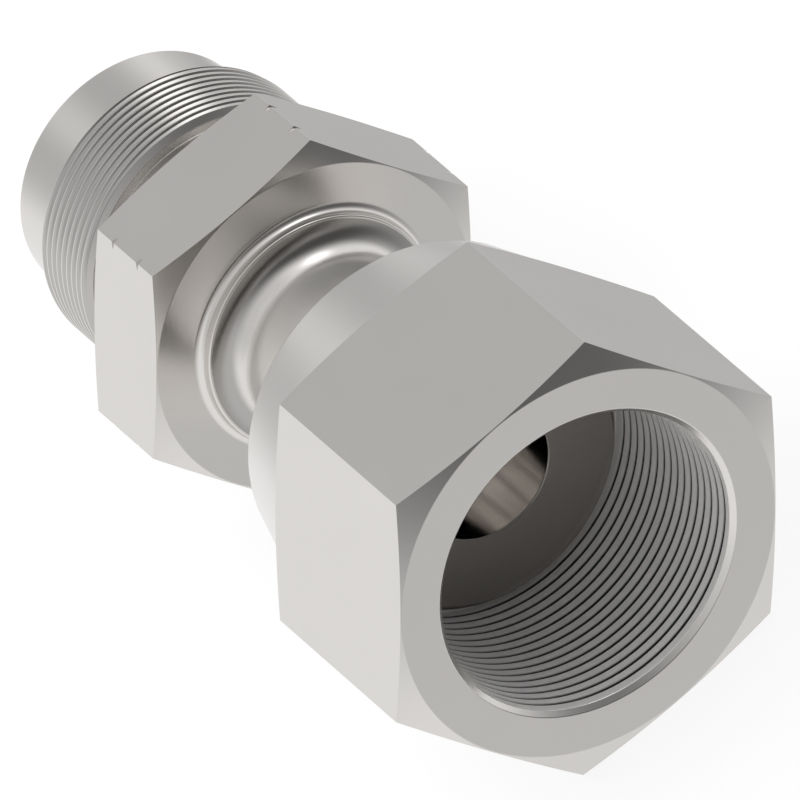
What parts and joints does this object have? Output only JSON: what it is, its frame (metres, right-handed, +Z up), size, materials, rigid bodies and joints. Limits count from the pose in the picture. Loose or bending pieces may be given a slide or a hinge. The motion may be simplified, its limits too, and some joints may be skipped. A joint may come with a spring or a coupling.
{
  "type": "straight swivel adapter fitting",
  "caption": "Straight hydraulic adapter: a turned body with wrench hexagon, neck, flow bore and threaded stud, and a captive swivel nut with an inner thread.",
  "frame": {"origin": "on the surface that the part lies on, under the middle of its length and width; the bore's axis is 32.5 mm above it", "axes": "+X along the bore's axis, out of the nut's mouth; +Z up, square to the flat that the nut lies on; +Y to the side"},
  "size_m": [0.1366, 0.075, 0.065],
  "materials": {
    "body_plating": "bright zinc-nickel plating over fine turned steel",
    "nut_plating": "bright zinc-nickel plating over milled and turned steel"
  },
  "bodies": {
    "body": {"fitting_body": "body_plating"},
    "nut": {"swivel_nut": "nut_plating"}
  },
  "joints": [
    {"name": "nut_swivel", "type": "hinge", "parent": "body", "child": "nut", "pos_m": [0.05, 0, 0.0325], "axis": [1, 0, 0], "continuous": true}
  ]
}
